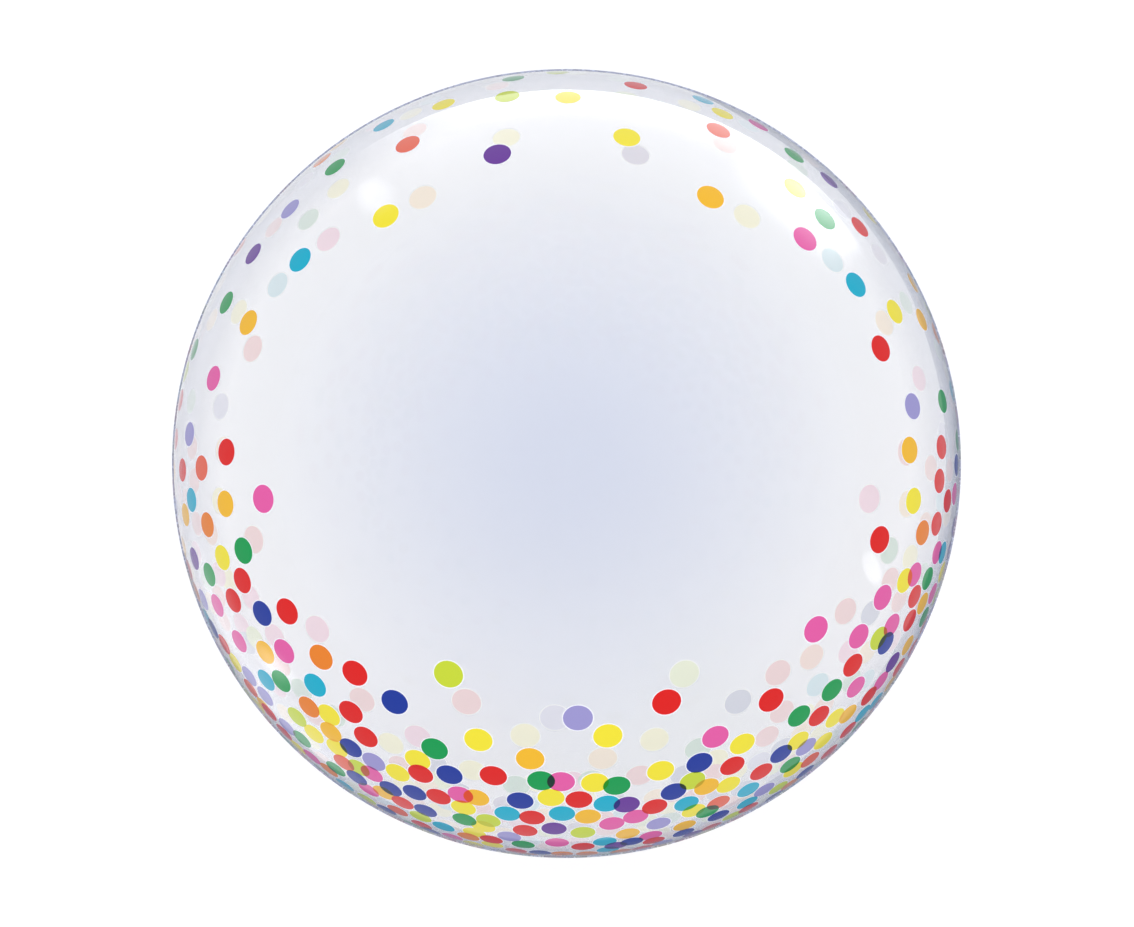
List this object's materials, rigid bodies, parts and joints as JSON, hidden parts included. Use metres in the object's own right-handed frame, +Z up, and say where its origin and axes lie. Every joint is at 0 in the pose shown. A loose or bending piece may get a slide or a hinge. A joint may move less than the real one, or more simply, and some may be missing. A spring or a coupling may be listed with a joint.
{
  "type": "polka dot balloon",
  "caption": "Round clear film balloon with a confetti drift of printed dots, a fine weld seam and a folded-down filling tail, lying on its back.",
  "frame": {"origin": "middle of the small flat spot on the balloon's back, which it rests on", "axes": "+Z up, out of the printed front face; the filling tail is at the -Y end of the weld seam; +X is to the right when the front is seen with the tail at the bottom"},
  "size_m": [0.61, 0.61, 0.6056],
  "materials": {
    "clear_film": "glossy clear stretch film, faintly lavender blue, with round dots printed in twelve bright inks"
  },
  "bodies": {
    "root": {"balloon_envelope": "clear_film"}
  },
  "joints": []
}
